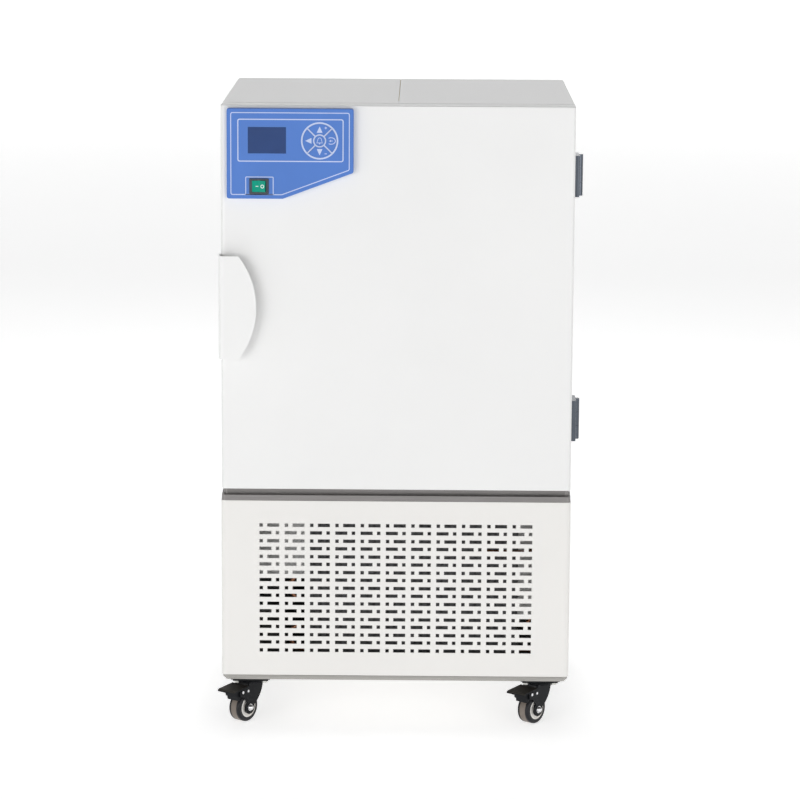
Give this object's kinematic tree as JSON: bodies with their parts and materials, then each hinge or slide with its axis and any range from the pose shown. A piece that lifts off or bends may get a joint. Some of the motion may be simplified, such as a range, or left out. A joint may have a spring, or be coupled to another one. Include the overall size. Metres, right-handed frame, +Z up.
{
  "type": "refrigerated incubator",
  "caption": "Floor-standing refrigerated incubator with a hinged insulated door, a control panel on the door, a slotted machine bay front and swivel casters.",
  "frame": {"origin": "on the floor under the middle of the object", "axes": "+Z up, -Y towards the front (the door), +X to the right as seen from the front"},
  "size_m": [0.6017, 0.555, 1.047],
  "materials": {
    "white_enamel": "satin, fine texture",
    "grey_enamel": "satin",
    "stainless_steel": "brushed",
    "galvanised_steel": "dull, zinc plated",
    "bright_chrome": "polished",
    "zinc_plate": "bright zinc",
    "black_steel": "satin",
    "compressor_black": "satin",
    "copper": "drawn copper",
    "aluminium_fins": "mill",
    "fan_black": "moulded",
    "foam": "foamed",
    "liner_white": "vacuum formed",
    "gasket_grey": "soft",
    "panel_blue": "semi gloss",
    "key_blue": "satin film",
    "lens_navy": "gloss",
    "board_green": "solder mask",
    "switch_black": "fine texture",
    "rocker_green": "translucent",
    "caster_wheel": "polyurethane on a white hub"
  },
  "bodies": {
    "cabinet": {"base_frame": "grey_enamel", "caster_rails": "black_steel", "left_casing": "white_enamel", "right_casing": "white_enamel", "front_frame": "white_enamel", "machine_deck": "galvanised_steel", "rear_panel": "white_enamel", "rear_cover": "galvanised_steel", "rear_screws": "zinc_plate", "chamber_liner": "stainless_steel", "cabinet_insulation": "foam", "duct_panel": "stainless_steel", "evaporator": "aluminium_fins", "heater": "stainless_steel", "circulation_fan_motor": "galvanised_steel", "temperature_probe": "stainless_steel", "shelf_rails": "stainless_steel", "trim_strip": "stainless_steel", "front_grille": "white_enamel", "compressor": "compressor_black", "condenser": "black_steel", "air_baffles": "galvanised_steel", "condenser_shroud": "galvanised_steel", "refrigerant_pipes": "copper", "power_box": "galvanised_steel", "power_inlet": "switch_black", "hinge_frame_leaves": "bright_chrome", "caster_plates": "black_steel", "caster_bolts": "zinc_plate"},
    "door": {"door_skin": "white_enamel", "door_insulation": "foam", "door_liner": "liner_white", "door_gasket": "gasket_grey", "door_handle": "white_enamel", "control_housing": "panel_blue", "control_overlay": "panel_blue", "display_lens": "lens_navy", "control_board": "board_green", "switch_bezel": "switch_black", "hinge_door_leaves": "bright_chrome"},
    "power_rocker": {"power_rocker": "rocker_green"},
    "lower_shelf": {"lower_shelf": "bright_chrome"},
    "upper_shelf": {"upper_shelf": "bright_chrome"},
    "circulation_fan": {"circulation_fan": "fan_black"},
    "condenser_fan": {"condenser_fan": "fan_black"},
    "key_up": {"key_up": "key_blue"},
    "key_down": {"key_down": "key_blue"},
    "key_left": {"key_left": "key_blue"},
    "key_right": {"key_right": "key_blue"},
    "key_middle": {"key_middle": "key_blue"},
    "front_left_fork": {"front_left_fork": "black_steel"},
    "front_left_wheel": {"front_left_wheel": "caster_wheel"},
    "front_left_pedal": {"front_left_pedal": "black_steel"},
    "front_right_fork": {"front_right_fork": "black_steel"},
    "front_right_wheel": {"front_right_wheel": "caster_wheel"},
    "front_right_pedal": {"front_right_pedal": "black_steel"},
    "rear_left_fork": {"rear_left_fork": "black_steel"},
    "rear_left_wheel": {"rear_left_wheel": "caster_wheel"},
    "rear_right_fork": {"rear_right_fork": "black_steel"},
    "rear_right_wheel": {"rear_right_wheel": "caster_wheel"}
  },
  "joints": [
    {"name": "door_hinge", "type": "hinge", "parent": "cabinet", "child": "door", "pos_m": [0.2975, -0.211, 0.729], "axis": [0, 0, 1], "range_deg": [0, 170]},
    {"name": "power_switch", "type": "hinge", "parent": "door", "child": "power_rocker", "pos_m": [-0.2254, -0.267, 0.916], "axis": [0, 0, 1], "range_deg": [0, 20]},
    {"name": "key_up_press", "type": "slide", "parent": "door", "child": "key_up", "axis": [0, 1, 0], "range_m": [0, 0.0004], "stiffness_N_per_m": 800},
    {"name": "key_down_press", "type": "slide", "parent": "door", "child": "key_down", "axis": [0, 1, 0], "range_m": [0, 0.0004], "stiffness_N_per_m": 800},
    {"name": "key_left_press", "type": "slide", "parent": "door", "child": "key_left", "axis": [0, 1, 0], "range_m": [0, 0.0004], "stiffness_N_per_m": 800},
    {"name": "key_right_press", "type": "slide", "parent": "door", "child": "key_right", "axis": [0, 1, 0], "range_m": [0, 0.0004], "stiffness_N_per_m": 800},
    {"name": "key_middle_press", "type": "slide", "parent": "door", "child": "key_middle", "axis": [0, 1, 0], "range_m": [0, 0.0004], "stiffness_N_per_m": 800},
    {"name": "lower_shelf_slide", "type": "slide", "parent": "cabinet", "child": "lower_shelf", "axis": [0, -1, 0], "range_m": [0, 0.2]},
    {"name": "upper_shelf_slide", "type": "slide", "parent": "cabinet", "child": "upper_shelf", "axis": [0, -1, 0], "range_m": [0, 0.2]},
    {"name": "circulation_fan_spin", "type": "hinge", "parent": "cabinet", "child": "circulation_fan", "pos_m": [0, 0.172, 0.892], "axis": [0, -1, 0], "continuous": true},
    {"name": "condenser_fan_spin", "type": "hinge", "parent": "cabinet", "child": "condenser_fan", "pos_m": [0.026, -0.112, 0.226], "axis": [0, -1, 0], "continuous": true},
    {"name": "front_left_swivel", "type": "hinge", "parent": "cabinet", "child": "front_left_fork", "pos_m": [-0.244, -0.185, 0.07], "axis": [0, 0, 1], "continuous": true},
    {"name": "front_left_roll", "type": "hinge", "parent": "front_left_fork", "child": "front_left_wheel", "pos_m": [-0.25693, -0.20155, 0.025], "axis": [0.788, -0.6157, 0], "continuous": true},
    {"name": "front_left_brake", "type": "hinge", "parent": "front_left_fork", "child": "front_left_pedal", "pos_m": [-0.26019, -0.20572, 0.0545], "axis": [0.788, -0.6157, 0], "range_deg": [0, 8]},
    {"name": "front_right_swivel", "type": "hinge", "parent": "cabinet", "child": "front_right_fork", "pos_m": [0.244, -0.185, 0.07], "axis": [0, 0, 1], "continuous": true},
    {"name": "front_right_roll", "type": "hinge", "parent": "front_right_fork", "child": "front_right_wheel", "pos_m": [0.2305, -0.20109, 0.025], "axis": [0.766, -0.6428, 0], "continuous": true},
    {"name": "front_right_brake", "type": "hinge", "parent": "front_right_fork", "child": "front_right_pedal", "pos_m": [0.22709, -0.20515, 0.0545], "axis": [0.766, -0.6428, 0], "range_deg": [0, 8]},
    {"name": "rear_left_swivel", "type": "hinge", "parent": "cabinet", "child": "rear_left_fork", "pos_m": [-0.244, 0.207, 0.07], "axis": [0, 0, 1], "continuous": true},
    {"name": "rear_left_roll", "type": "hinge", "parent": "rear_left_fork", "child": "rear_left_wheel", "pos_m": [-0.23856, 0.22728, 0.025], "axis": [-0.9659, 0.2588, 0], "continuous": true},
    {"name": "rear_right_swivel", "type": "hinge", "parent": "cabinet", "child": "rear_right_fork", "pos_m": [0.244, 0.207, 0.07], "axis": [0, 0, 1], "continuous": true},
    {"name": "rear_right_roll", "type": "hinge", "parent": "rear_right_fork", "child": "rear_right_wheel", "pos_m": [0.24035, 0.22768, 0.025], "axis": [-0.9848, -0.1736, 0], "continuous": true}
  ],
  "couplings": [
    {"joint": "lower_shelf_slide", "follows": "door_hinge", "m_per_rad": 0.067407},
    {"joint": "upper_shelf_slide", "follows": "door_hinge", "m_per_rad": 0.067407}
  ]
}
